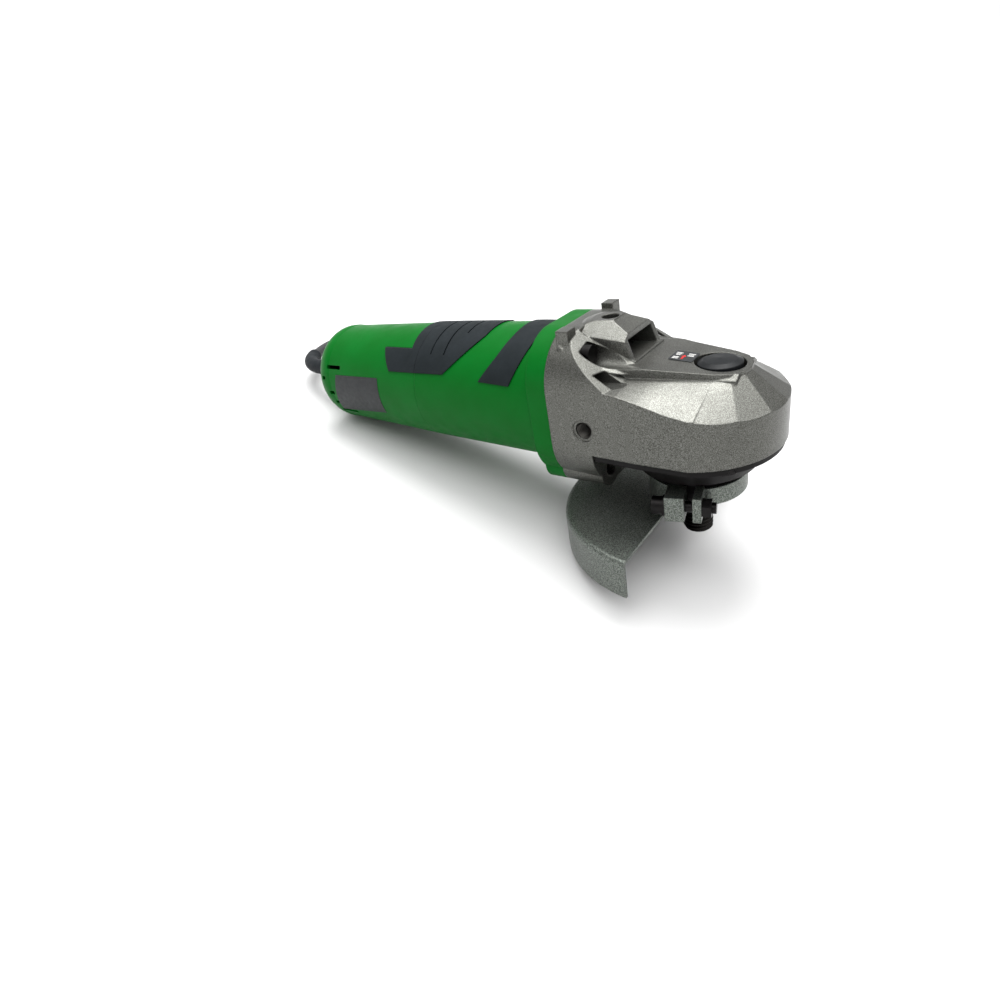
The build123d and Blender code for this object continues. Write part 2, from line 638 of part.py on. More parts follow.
def rear_bearing():
    middle = sum(REAR_BEARING_X) / 2 - 1.0
    return Pos(middle, 0, 0) * Rot(0, 90, 0) * ball_bearing(SHAFT_R + RUNNING, 11.0, 6.9, 7)


def armature_shaft():
    return turned_x([
        (-147.5, 0), (-147.5, SHAFT_R), (-39.0, SHAFT_R), (-39.0, 5.0), (-29.4, 5.0), (-29.4, SHAFT_R),
        (-24.5, SHAFT_R), (-24.5, SHAFT_TIP_R), (-11.3, SHAFT_TIP_R), (-11.3, 0),
    ])


def pinion_nut():
    hexagon = across(PINION_FRONT + SEATED) * RegularPolygon(4.6, 6)
    return extrude(hexagon, 3.2) - rod(SHAFT_TIP_R + SEATED, -20, -5)


def armature_core():
    core = rod(ARMATURE_R, *STATOR_X) - rod(SHAFT_R + SEATED, -120, -60)
    slot = block((STATOR_X[0] - 1, -0.9, 12.6), (STATOR_X[1] + 1, 0.9, 20))
    pocket_round = rod(2.0, STATOR_X[0] - 1, STATOR_X[1] + 1, 0, 11.4)
    for cut in around_x(slot + pocket_round, 12):
        core -= cut
    return core


def armature_windings():
    """Copper in the slots with the rounded end turns."""
    wires = around_x(rod(1.8, STATOR_X[0] - 1, STATOR_X[1] + 1, 0, 11.4), 12)
    rear = turned_x([(-118.5, 6), (-117.5, 11), (-115, 13.4), (-112.1, 13.4), (-112.1, 6)])
    front = turned_x([(-73.9, 6), (-73.9, 13.4), (-71, 13.4), (-68, 11), (-67, 6)])
    copper = rear + front
    for wire in wires:
        copper += wire
    return copper


def commutator():
    drum = rod(COMMUTATOR_R, *COMMUTATOR_X) - rod(SHAFT_R + SEATED, -140, -110)
    slit = block((COMMUTATOR_X[0] - 1, -0.2, COMMUTATOR_R - 0.8), (COMMUTATOR_X[1] - 2, 0.2, 12))
    for gap in around_x(slit, 24):
        drum -= gap
    return drum


def cooling_fan():
    start, end = FAN_X
    hub = rod(8.0, start - 4, end) + rod(27.5, start, start + 1.4)
    blade = block((start + 1, 10.0, -0.7), (end, 27.0, 0.7))
    for one in around_x(blade, 11):
        hub += one
    hub += rod(27.5, end - 1.2, end) - rod(16.0, end - 3, end + 1)
    return hub - rod(SHAFT_R + SEATED, start - 6, end + 1)


def stator_core():
    core = rod(STATOR_R, *STATOR_X) - rod(ARMATURE_R + 0.5, -120, -60)
    core -= both_sides(block((STATOR_X[0] - 1, 14.0, -14.5), (STATOR_X[1] + 1, 22.0, 14.5)))
    for y, z in STATOR_SCREWS:
        core -= rod(2.3, -120, -60, y, z)
    return core


def stator_coils():
    """Two field coils, each a saddle with sides in the core and rounded end turns."""
    saddle = block((STATOR_X[0] - 6, 15.9, -13.5), (STATOR_X[1] + 6, 21.8, 13.5))
    saddle -= block((STATOR_X[0] - 1.5, 10, -7.5), (STATOR_X[1] + 1.5, 30, 7.5))
    saddle = fillet(saddle.edges().filter_by(Axis.Y), 3.0)
    return group([saddle, mirror(saddle, Plane.XZ)])


def stator_screws():
    def screw(y, z):
        return rod(3.6, -68.5, STATOR_X[1], y, z) + rod(2.0, -115.5, -72, y, z)

    return group([screw(y, z) for y, z in STATOR_SCREWS])


def air_baffle():
    """Plastic ring that turns the cooling air on to the fan."""
    ring = turned_x([(-62.6, 16.5), (-60.2, 18.0), (-60.2, 30.3), (-62.6, 30.3)])
    return ring


def bearing_plate():
    """Steel plate that keeps the front bearing in the gear case."""
    plate = rod(20.0, -45.0, -43.6) - rod(8.2, -50, -40)
    for y, z in PLATE_SCREWS:
        plate -= rod(1.8, -50, -40, y, z)
    return plate


def plate_screws():
    return group([rod(2.9, -45.9, -45.02, y, z) + rod(1.6, -45.5, -44.0, y, z) for y, z in PLATE_SCREWS])


def brush_holders():
    """Brass boxes that guide the two carbon brushes."""
    box = block((BRUSH_X - 4.2, 11.2, -3.7), (BRUSH_X + 4.2, 26.5, 3.7))
    box -= block((BRUSH_X - 3.2, 10, -2.7), (BRUSH_X + 3.2, 25.7, 2.7))
    return group([box, mirror(box, Plane.XZ)])


def carbon_brushes():
    carbon = block((BRUSH_X - 3.1, 0, -2.6), (BRUSH_X + 3.1, 20.0, 2.6)) - rod(COMMUTATOR_R + RUNNING, -140, -110)
    return group([carbon, mirror(carbon, Plane.XZ)])


def brush_springs():
    coil = pin_y(2.1, 20.1, 25.6, BRUSH_X, 0) - pin_y(1.4, 20, 26, BRUSH_X, 0)
    return group([coil, mirror(coil, Plane.XZ)])


# ---------------------------------------------------------------- switch and tail
def switch_body():
    body = block((-203, -8.0, -3.0), (-174, 8.0, 16.0)) + block((-199, 8.0, 9.0), (-181, 9.5, 13.0))
    return body + both_sides(block((-206.5, 2.0, 5.0), (-203, 6.0, 5.8)))


def switch_knob():
    """Ribbed slide knob on the left flank, with its neck through the slot."""
    pad = (barrel(3.4) - barrel(1.1)) & block((KNOB_X[0], 5, 13.0), (KNOB_X[1], 45, 23.0))
    for i in range(4):
        x = KNOB_X[0] + 2.6 + 3.1 * i
        pad -= (barrel(5) - barrel(2.5)) & block((x - 0.6, 5, 10), (x + 0.6, 45, 30))
    neck = block((KNOB_X[0] + 2.5, SWITCH_STRIP_Y + SEATED, 16.0), (KNOB_X[1] - 2.5, 25.5, 20.0)) & barrel(2.0)
    return pad + neck


def switch_rod():
    """Steel strip from the knob to the switch's side lever."""
    strip = block((-194, 15.2, 15.4), (KNOB_X[1] - 1.5, SWITCH_STRIP_Y, 20.2))
    return strip + block((-194, 10.2, 10.0), (-191.5, SWITCH_STRIP_Y, 20.2))


def capacitor():
    """Interference suppressor under the switch."""
    return block((-202, -7.0, -16.5), (-182, 7.0, -6.0))


def cord_clamp():
    """Plastic bar that holds the cord down on its two posts."""
    bar = block((CLAMP_BAR_X - 4, -15.0, -5.1), (CLAMP_BAR_X + 4, 15.0, 6.5)) - rod(CORD_R + SEATED, -220, -200)
    return bar - both_sides(post(1.7, -10, 10, x=CLAMP_BAR_X, y=CLAMP_BAR_SCREW_Y))


def clamp_bar_screws():
    place = {"x": CLAMP_BAR_X, "y": CLAMP_BAR_SCREW_Y}
    screw = post(3.0, 6.52, 8.6, **place) + post(1.5, -13.0, 7.0, **place)
    return group([screw, mirror(screw, Plane.XZ)])


def boot_path(start_x):
    """The cord's line from inside the tail to the end of the boot, which bends to the left."""
    reach = BOOT_BEND_R * math.tan(math.radians(BOOT_TURN / 2))
    corner = (BOOT_BEND_X - reach, 0, 0)
    end = (corner[0] - reach * math.cos(math.radians(BOOT_TURN)), reach * math.sin(math.radians(BOOT_TURN)), 0)
    arc = TangentArc((BOOT_BEND_X, 0, 0), end, tangent=(-1, 0, 0))
    return Line((start_x, 0, 0), (BOOT_BEND_X, 0, 0)) + arc


def along(path, radius):
    """A round bar along a path."""
    return sweep(Plane(origin=path @ 0, z_dir=path % 0) * Circle(radius), path=path)


def strain_relief():
    """Tapered rubber boot with a collar inside the tail wall."""
    boot = turned_x([
        (-229.5, 0), (-229.5, 9.5), (-233.3, 9.5), (-233.3, 7.9), (-236.1, 7.9), (-237.0, 6.9),
        (-240.0, 6.7), (BOOT_BEND_X, BOOT_END_R + 0.5), (BOOT_BEND_X, 0),
    ])
    boot += along(boot_path(BOOT_BEND_X + 4), BOOT_END_R)
    return boot - along(boot_path(-229.0), CORD_R + SEATED)


def inner_cord():
    """The cord inside the boot and the clamp."""
    return along(boot_path(-207.2), CORD_R)


# ---------------------------------------------------------------- guard
EAR = Rot(0, 0, EAR_AZIMUTH)  # turns +X towards the clamp's ears


def wheel_guard():
    """Half-round steel hood with a rolled edge, open to the front, and the collar it is welded to."""
    bottom = GUARD_TOP - GUARD_SKIRT
    inner = GUARD_R - GUARD_SHEET
    hood = post(GUARD_R, bottom, GUARD_TOP)
    hood = fillet(hood.edges().filter_by(GeomType.CIRCLE).sort_by(Axis.Z)[-1:], 2.4)
    hollow = post(inner, bottom - 1, GUARD_TOP - GUARD_SHEET)
    hollow = fillet(hollow.edges().filter_by(GeomType.CIRCLE).sort_by(Axis.Z)[-1:], 0.9)
    hood -= hollow
    hood -= block((GUARD_EDGE_X, -80, -90), (80, 80, -30))
    collar = post(BAND_R, GUARD_TOP - 1, BAND_BOTTOM - 0.02) & block((-40, -40, -60), (GUARD_EDGE_X, 40, -30))
    return hood + collar - post(NECK_R + 0.35, -90, -20)


def guard_band():
    """Split clamp ring round the neck with two folded ears."""
    ring = post(BAND_R, BAND_BOTTOM, BAND_TOP)
    for low, high in ((-10.1, -1.7), (1.9, 5.6)):
        ring += EAR * block((NECK_R - 2, low, -43.0), (32.0, high, -31.0))
    ring -= post(NECK_R + 0.35, -60, -20)
    ring -= EAR * block((0, -1.7, -60), (40, 1.9, -20))
    ring -= EAR * pin_y(2.7, -20, 20, CLAMP_R, CLAMP_Z)
    hollow = EAR * block((BAND_R + 0.6, -8.5, -50), (30.4, -3.3, -32.6))
    return ring - hollow


def clamp_screw():
    head = pin_y(4.25, -16.0, -10.12, CLAMP_R, CLAMP_Z) + pin_y(4.9, -11.2, -10.12, CLAMP_R, CLAMP_Z)
    head -= pin_y(2.2, -17, -13.5, CLAMP_R, CLAMP_Z)
    return EAR * (head + pin_y(2.5, -12, 11.5, CLAMP_R, CLAMP_Z))


def clamp_nut():
    hexagon = Plane(origin=(CLAMP_R, 5.62, CLAMP_Z), x_dir=(0, 0, 1), z_dir=(0, 1, 0)) * RegularPolygon(4.6, 6)
    return EAR * (extrude(hexagon, 4.0) - pin_y(2.5 + SEATED, 0, 20, CLAMP_R, CLAMP_Z))


# ---------------------------------------------------------------- cord, on the floor
CORD_ROUTE = [
    (-160.76, 18.0, 12.23), (-172.4, 38.8, 9.5), (-173.5, 62.0, 5.6), (-164.0, 83.0, 3.7), (-145.0, 97.5, 3.6),
    (-119.0, 104.0, 3.6), (-92.0, 113.0, 3.6), (-65.0, 126.0, 3.6), (-41.0, 133.0, 3.6), (-17.9, 136.8, 3.6),
]


def fillet_radii(points):
    """The largest arcs that the runs allow: 0.45 of the shorter run over the tangent of half the turn."""
    radii = []
    for before, here, after in zip(points, points[1:], points[2:]):
        first = Vector(*here) - Vector(*before)
        second = Vector(*after) - Vector(*here)
        half_turn = math.radians(first.get_angle(second)) / 2
        radii.append(0.45 * min(first.length, second.length) / math.tan(half_turn))
    return radii


def cord_tube():
    radii = fillet_radii(CORD_ROUTE)
    print("cord radii", [round(r, 1) for r in radii])
    path = FilletPolyline(*CORD_ROUTE, radius=radii)
    tube = along(path, CORD_R)
    print("cord length", round(path.length, 1), "volume ratio", tube.volume / (path.length * math.pi * CORD_R**2))
    return tube


def cord_coil():
    """Outer shape of the wound turns."""
    x, y = COIL_CENTRE
    inner = COIL_MEAN_R - COIL_WIDTH / 2
    return post(inner + COIL_WIDTH, 0.05, COIL_HEIGHT, x, y) - post(inner, -1, COIL_HEIGHT + 1, x, y)


def cord_tie():
    """Hook-and-loop strap round the coil's side nearest the tool."""
    x, y = COIL_CENTRE
    side = y - COIL_MEAN_R
    half = COIL_WIDTH / 2
    strap = block((x - 8, side - half - 1.2, 0.02), (x + 8, side + half + 1.2, COIL_HEIGHT + 1.2))
    return strap - block((x - 10, side - half, 1.0), (x + 10, side + half, COIL_HEIGHT))


PLUG_TURN = -30.0  # degrees; the lead leaves the coil's outer top turn along this line
PLUG_PLACE = Pos(55.5, 106.7, 0) * Rot(0, 0, PLUG_TURN)


def plug_body():
    """Round two-pin plug lying on its side, with its own short strain relief."""
    disc = Pos(0, 0, 17.5) * Rot(0, 90, 0) * Cylinder(17.5, 8.0)
    grip = Pos(-11, 0, 17.5) * Rot(0, 90, 0) * Cylinder(12.5, 16.0)
    neck = Pos(-25, 0, 17.5) * Rot(0, 90, 0) * Cylinder(5.5, 14.0)
    return disc + grip + neck


def plug_pins():
    pin = Pos(13.5, 9.5, 17.5) * Rot(0, 90, 0) * Cylinder(2.4, 19.0)
    return group([pin, mirror(pin, Plane.XZ)])


# ---------------------------------------------------------------- placing and writing
NOSE_UP = 13.23  # degrees, so that the guard's rim and the tail touch the floor together


def build_tool():
    return {
        "motor_housing": motor_housing(),
        "tail_cover": tail_cover(),
        "main_grip": main_grip(),
        "rear_grip_right": rear_grip(False),
        "rear_grip_left": rear_grip(True),
        "front_stripe": front_stripe(),
        "badge_plates": badge_plates(),
        "tail_screw": tail_screw(),
        "gear_case": gear_case(),
        "gasket": gasket(),
        "bearing_cover": bearing_cover(),
        "cover_screws": cover_screws(),
        "case_screws": case_screws(),
        "arrow_label": arrow_label(),
        "lock_button": lock_button(),
        "lock_pin": lock_pin(),
        "lock_spring": lock_spring(),
        "button_seal": button_seal(),
        "ring_gear": ring_gear(),
        "pinion": pinion(),
        "spindle": spindle(),
        "gear_key": gear_key(),
        "spindle_circlip": spindle_circlip(),
        "spindle_bearing": spindle_bearing(),
        "spindle_bush": spindle_bush(),
        "front_bearing": front_bearing(),
        "rear_bearing": rear_bearing(),
        "bearing_plate": bearing_plate(),
        "plate_screws": plate_screws(),
        "armature_shaft": armature_shaft(),
        "pinion_nut": pinion_nut(),
        "armature_core": armature_core(),
        "armature_windings": armature_windings(),
        "commutator": commutator(),
        "cooling_fan": cooling_fan(),
        "stator_core": stator_core(),
        "stator_coils": stator_coils(),
        "stator_screws": stator_screws(),
        "air_baffle": air_baffle(),
        "brush_holders": brush_holders(),
        "carbon_brushes": carbon_brushes(),
        "brush_springs": brush_springs(),
        "switch_body": switch_body(),
        "switch_knob": switch_knob(),
        "switch_rod": switch_rod(),
        "capacitor": capacitor(),
        "cord_clamp": cord_clamp(),
        "clamp_bar_screws": clamp_bar_screws(),
        "strain_relief": strain_relief(),
        "inner_cord": inner_cord(),
        "wheel_guard": wheel_guard(),
        "guard_band": guard_band(),
        "clamp_screw": clamp_screw(),
        "clamp_nut": clamp_nut(),
    }


def build_cord():
    return {
        "cord_tube": cord_tube(),
        "cord_coil": cord_coil(),
        "cord_tie": cord_tie(),
        "plug_body": PLUG_PLACE * plug_body(),
        "plug_pins": PLUG_PLACE * plug_pins(),
    }


def stand(nodes):
    """Tips the tool nose-up and puts the middle of its footprint at the origin, with its base on the floor."""
    tipped = {name: Rot(0, -NOSE_UP, 0) * shape for name, shape in nodes.items()}
    boxes = [shape.bounding_box() for shape in tipped.values()]
    low = [min(tuple(box.min)[i] for box in boxes) for i in range(3)]
    high = [max(tuple(box.max)[i] for box in boxes) for i in range(3)]
    shift = Pos(-(low[0] + high[0]) / 2, -(low[1] + high[1]) / 2, -low[2])
    print("tool origin at", [round(v, 4) for v in tuple(shift.position)])
    return {name: shift * shape for name, shape in tipped.items()}


os.makedirs("parts", exist_ok=True)
for name, shape in {**stand(build_tool()), **build_cord()}.items():
    export_step(shape, f"parts/{name}.step")
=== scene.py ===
import json
import math

import bmesh
import bpy
from mathutils import Matrix, Vector


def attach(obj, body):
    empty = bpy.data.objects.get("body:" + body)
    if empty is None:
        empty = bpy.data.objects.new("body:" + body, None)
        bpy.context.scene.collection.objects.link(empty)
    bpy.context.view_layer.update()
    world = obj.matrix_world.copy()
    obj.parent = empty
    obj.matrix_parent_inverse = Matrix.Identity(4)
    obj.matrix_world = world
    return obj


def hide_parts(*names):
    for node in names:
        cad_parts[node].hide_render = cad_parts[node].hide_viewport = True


# A small corded angle grinder standing on its guard's rim and its tail.  The tool's own shapes are in
# its own axes, in mm: X forward along the motor shaft, Z up along the spindle, Y to the user's left,
# with the origin where the two shafts cross.  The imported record's joints say where those axes are.
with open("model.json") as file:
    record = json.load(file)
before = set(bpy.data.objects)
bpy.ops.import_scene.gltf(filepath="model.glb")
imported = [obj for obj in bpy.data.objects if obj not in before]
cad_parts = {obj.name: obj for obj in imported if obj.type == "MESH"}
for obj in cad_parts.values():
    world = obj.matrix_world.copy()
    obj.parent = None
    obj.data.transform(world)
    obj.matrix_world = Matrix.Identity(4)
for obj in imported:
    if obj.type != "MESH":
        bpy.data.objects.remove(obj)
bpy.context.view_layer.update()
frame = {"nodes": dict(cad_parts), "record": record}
MM = 0.001

joints = {joint["name"]: joint for joint in frame["record"]["behaviour"]["joints"]}
FORWARD = Vector(joints["armature_spin"]["axis"]).normalized()
UPWARD = Vector(joints["spindle_spin"]["axis"]).normalized()
LEFTWARD = UPWARD.cross(FORWARD)
motor_point = Vector(joints["armature_spin"]["pos_m"])
spindle_point = Vector(joints["spindle_spin"]["pos_m"])
CROSSING = motor_point + FORWARD * (spindle_point - motor_point).dot(FORWARD)
AXES = Matrix((FORWARD, LEFTWARD, UPWARD)).transposed()
TOOL = Matrix.Translation(CROSSING) @ AXES.to_4x4() @ Matrix.Scale(MM, 4)


# ---------------------------------------------------------------- camera
CAMERA_AZIMUTH = math.radians(42.13)  # to the right of straight ahead of the tool
CAMERA_ELEVATION = math.radians(30.10)  # above the tool's own horizontal
CAMERA_DISTANCE = 389.5
CAMERA_TARGET = Vector((-126.41, 0.0, -78.29))
CAMERA_ROLL = math.radians(-11.5)
CAMERA_LENS = 22.54


def make_camera():
    """The camera in front of the tool's right side, tipped about its own line of sight."""
    back = Vector((
        math.sin(CAMERA_AZIMUTH) * math.cos(CAMERA_ELEVATION),
        -math.cos(CAMERA_AZIMUTH) * math.cos(CAMERA_ELEVATION),
        math.sin(CAMERA_ELEVATION),
    ))
    level = Vector((math.cos(CAMERA_AZIMUTH), math.sin(CAMERA_AZIMUTH), 0.0))
    upright = back.cross(level)
    right = level * math.cos(CAMERA_ROLL) + upright * math.sin(CAMERA_ROLL)
    up = upright * math.cos(CAMERA_ROLL) - level * math.sin(CAMERA_ROLL)
    turn = AXES @ Matrix((right, up, back)).transposed()
    place = TOOL @ (CAMERA_TARGET + back * CAMERA_DISTANCE)
    camera = bpy.data.objects.new("camera", bpy.data.cameras.new("camera"))
    camera.data.lens = CAMERA_LENS
    camera.data.clip_start = 0.01
    camera.matrix_world = Matrix.Translation(place) @ turn.to_4x4()
    bpy.context.collection.objects.link(camera)
    bpy.context.scene.camera = camera


# ---------------------------------------------------------------- shader helpers
NOISE_LOW = 0.3  # most of a noise texture lies between these
NOISE_HIGH = 0.7
BEVEL_SAMPLES = 6


class Shader:
    """A node material with one Principled shader, whose plain values sit on its own sockets."""

    def __init__(self, name, colour, roughness, metallic=0.0, **values):
        self.material = bpy.data.materials.new(name)
        self.material.use_nodes = True
        self.tree = self.material.node_tree
        self.shader = self.tree.nodes["Principled BSDF"]
        self.material.diffuse_color = (*colour, 1.0)
        self.set("Base Color", (*colour, 1.0))
        self.set("Roughness", roughness)
        self.set("Metallic", metallic)
        for key, value in values.items():
            self.set(key.replace("_", " "), value)
        self.coordinates = self.node("ShaderNodeTexCoord").outputs["Object"]
        self.normal = None

    def set(self, socket, value):
        self.shader.inputs[socket].default_value = value

    def node(self, kind, **values):
        made = self.tree.nodes.new(kind)
        for key, value in values.items():
            made.inputs[key].default_value = value
        return made

    def link(self, output, socket):
        self.tree.links.new(output, socket)

    def noise(self, scale, detail=2.0, stretch=None):
        """Noise over the object's own coordinates, in repeats per metre."""
        made = self.node("ShaderNodeTexNoise", Scale=scale, Detail=detail)
        source = self.coordinates
        if stretch:
            mapping = self.node("ShaderNodeMapping", Scale=stretch)
            self.link(source, mapping.inputs["Vector"])
            source = mapping.outputs["Vector"]
        self.link(source, made.inputs["Vector"])
        return made.outputs["Fac"]

    def paint(self, factor, first, second, start=NOISE_LOW, end=NOISE_HIGH):
        """Blends the base colour from first to second as the factor goes from start to end."""
        ramp = self.node("ShaderNodeValToRGB")
        ramp.color_ramp.elements[0].position = start
        ramp.color_ramp.elements[0].color = (*first, 1.0)
        ramp.color_ramp.elements[1].position = end
        ramp.color_ramp.elements[1].color = (*second, 1.0)
        self.link(factor, ramp.inputs["Fac"])
        self.link(ramp.outputs["Color"], self.shader.inputs["Base Color"])

    def roughen(self, factor, low, high):
        """Varies the roughness from low to high over a noise's range."""
        made = self.node("ShaderNodeMapRange")
        made.inputs["From Min"].default_value = NOISE_LOW
        made.inputs["From Max"].default_value = NOISE_HIGH
        made.inputs["To Min"].default_value = low
        made.inputs["To Max"].default_value = high
        self.link(factor, made.inputs["Value"])
        self.link(made.outputs["Result"], self.shader.inputs["Roughness"])

    def rounded(self, radius):
        """Softens sharp edges by this radius in mm."""
        bevel = self.node("ShaderNodeBevel", Radius=radius * MM)
        bevel.samples = BEVEL_SAMPLES
        self.attach(bevel.outputs["Normal"])

    def bump(self, factor, depth, strength):
        """Raises the surface by depth in mm where the factor is 1."""
        made = self.node("ShaderNodeBump", Strength=strength, Distance=depth * MM)
        self.link(factor, made.inputs["Height"])
        if self.normal:
            self.link(self.normal, made.inputs["Normal"])
        self.attach(made.outputs["Normal"])

    def attach(self, normal):
        self.normal = normal
        self.link(normal, self.shader.inputs["Normal"])


def shade(node, shader):
    """Gives one material to a CAD node, by name, or to a new piece."""
    piece = frame["nodes"][node] if isinstance(node, str) else node
    piece.data.materials.clear()
    piece.data.materials.append(shader.material)


def mesh_object(name, made):
    """Turns finished bmesh geometry into an object in the scene."""
    mesh = bpy.data.meshes.new(name)
    made.to_mesh(mesh)
    made.free()
    piece = bpy.data.objects.new(name, mesh)
    bpy.context.collection.objects.link(piece)
    return piece


# ---------------------------------------------------------------- materials
METAL_ROUNDING = 0.3  # mm, on the edges of bare metal


def silver_paint(name, base, fleck, roughness, rounded, grain):
    """Silver paint over a casting or sheet: bright flecks in a greyer ground."""
    shader = Shader(name, base, roughness, metallic=0.80)
    flecks = shader.noise(grain, 1.5)
    clouds = shader.noise(45, 4.0)
    shader.paint(flecks, tuple(0.62 * c for c in base), fleck, 0.38, 0.66)
    shader.roughen(clouds, roughness - 0.05, roughness + 0.08)
    shader.rounded(rounded)
    shader.bump(flecks, 0.05, 0.6)
    shader.bump(clouds, 0.15, 0.35)
    return shader


def green_plastic():
    shader = Shader("green_plastic", (0.0002, 0.098, 0.008), 0.40, Specular_IOR_Level=0.07)
    shader.paint(shader.noise(60, 3.0), (0.0001, 0.091, 0.007), (0.0003, 0.105, 0.010))
    shader.roughen(shader.noise(140, 3.0), 0.36, 0.48)
    shader.rounded(0.5)
    shader.bump(shader.noise(1800, 2.0), 0.02, 0.35)
    return shader


def soft_grip():
    shader = Shader("soft_grip", (0.008, 0.012, 0.013), 0.62, Specular_IOR_Level=0.10)
    shader.paint(shader.noise(90, 3.0), (0.0075, 0.0105, 0.012), (0.011, 0.0145, 0.017))
    shader.roughen(shader.noise(300, 3.0), 0.55, 0.70)
    shader.rounded(0.35)
    shader.bump(shader.noise(2600, 2.0), 0.03, 0.6)
    return shader


def dark_plastic(name, base=(0.010, 0.010, 0.011), roughness=0.45, rounded=0.4, grain=1700):
    shader = Shader(name, base, roughness, Specular_IOR_Level=0.12)
    shader.paint(shader.noise(110, 3.0), tuple(0.85 * c for c in base), tuple(1.2 * c for c in base))
    shader.roughen(shader.noise(240, 2.0), roughness - 0.06, roughness + 0.08)
    shader.rounded(rounded)
    shader.bump(shader.noise(grain, 2.0), 0.02, 0.4)
    return shader


def bare_metal(name, base, roughness):
    shader = Shader(name, base, roughness, metallic=1.0)
    dull = tuple(0.85 * c for c in base)
    bright = tuple(min(1.0, 1.1 * c) for c in base)
    shader.paint(shader.noise(160, 4.0), dull, bright)
    shader.roughen(shader.noise(600, 3.0), roughness - 0.06, roughness + 0.10)
    shader.rounded(METAL_ROUNDING)
    shader.bump(shader.noise(1500, 2.0), 0.01, 0.3)
    return shader


def copper_wire():
    shader = Shader("copper_wire", (0.55, 0.22, 0.08), 0.35, metallic=1.0)
    strands = shader.noise(1400, 1.0, stretch=(0.08, 1.0, 1.0))
    shader.paint(strands, (0.40, 0.14, 0.05), (0.66, 0.30, 0.12))
    shader.bump(strands, 0.15, 0.8)
    return shader


def laminations():
    shader = Shader("laminations", (0.16, 0.16, 0.17), 0.5, metallic=0.9)
    sheets = shader.noise(1200, 0.0, stretch=(1.0, 0.02, 0.02))
    shader.paint(sheets, (0.10, 0.10, 0.11), (0.24, 0.24, 0.25))
    shader.bump(sheets, 0.1, 0.6)
    return shader


def cord_jacket():
    shader = Shader("cord_jacket", (0.018, 0.018, 0.019), 0.5)
    shader.paint(shader.noise(120, 2.0), (0.014, 0.014, 0.015), (0.024, 0.024, 0.026))
    shader.roughen(shader.noise(400, 2.0), 0.42, 0.6)
    shader.bump(shader.noise(1500, 2.0), 0.02, 0.4)
    return shader


def strap_fabric():
    shader = Shader("strap_fabric", (0.02, 0.02, 0.022), 0.9, Sheen_Weight=0.4)
    weave = shader.noise(1600, 1.0)
    shader.paint(weave, (0.012, 0.012, 0.013), (0.035, 0.035, 0.038))
    shader.bump(weave, 0.25, 0.9)
    return shader


def blank_badge():
    shader = Shader("blank_badge", (0.016, 0.018, 0.019), 0.5, Specular_IOR_Level=0.25)
    shader.paint(shader.noise(150, 3.0), (0.014, 0.016, 0.017), (0.019, 0.021, 0.023))
    shader.roughen(shader.noise(500, 2.0), 0.42, 0.56)
    shader.bump(shader.noise(2200, 2.0), 0.015, 0.4)
    return shader


CAST = silver_paint("cast_silver", (0.078, 0.076, 0.066), (0.168, 0.171, 0.157), 0.34, 0.9, 3400)
SHEET = silver_paint("sheet_silver", (0.100, 0.112, 0.098), (0.200, 0.220, 0.198), 0.38, 0.5, 1900)
GREEN = green_plastic()
GRIP = soft_grip()
BADGE = blank_badge()
BLACK_CAST = dark_plastic("black_cast", (0.004, 0.0035, 0.0035), 0.42, 0.6)
BLACK_PLASTIC = dark_plastic("black_plastic")
BLACK_RUBBER = dark_plastic("black_rubber", (0.009, 0.011, 0.013), 0.6, 0.5, 2400)
BUTTON = dark_plastic("button_plastic", (0.008, 0.009, 0.010), 0.40, 0.8)
PRINT_WHITE = dark_plastic("print_white", (0.42, 0.42, 0.41), 0.5)
PRINT_RED = dark_plastic("print_red", (0.36, 0.02, 0.02), 0.5)
PALE_PLASTIC = dark_plastic("pale_plastic", (0.60, 0.60, 0.58), 0.45)
GASKET = dark_plastic("gasket_fibre", (0.03, 0.028, 0.026), 0.8)
CARBON = dark_plastic("carbon", (0.02, 0.02, 0.022), 0.55)
CAPACITOR = dark_plastic("capacitor_case", (0.50, 0.40, 0.06), 0.3)
BLACK_STEEL = bare_metal("black_steel", (0.018, 0.017, 0.017), 0.38)
DARK_THREAD = bare_metal("dark_thread", (0.016, 0.015, 0.014), 0.34)
HOLE_THREAD = bare_metal("hole_thread", (0.075, 0.072, 0.066), 0.42)
STEEL = bare_metal("ground_steel", (0.55, 0.55, 0.56), 0.28)
GEAR_STEEL = bare_metal("gear_steel", (0.34, 0.34, 0.35), 0.38)
BEARING_STEEL = bare_metal("bearing_steel", (0.70, 0.70, 0.72), 0.18)
BRONZE = bare_metal("bronze", (0.52, 0.32, 0.14), 0.42)
BRASS = bare_metal("brass", (0.66, 0.48, 0.20), 0.32)
PIN_PLATING = bare_metal("pin_plating", (0.62, 0.58, 0.46), 0.25)
COPPER = copper_wire()
SHEETS = laminations()
JACKET = cord_jacket()
STRAP = strap_fabric()

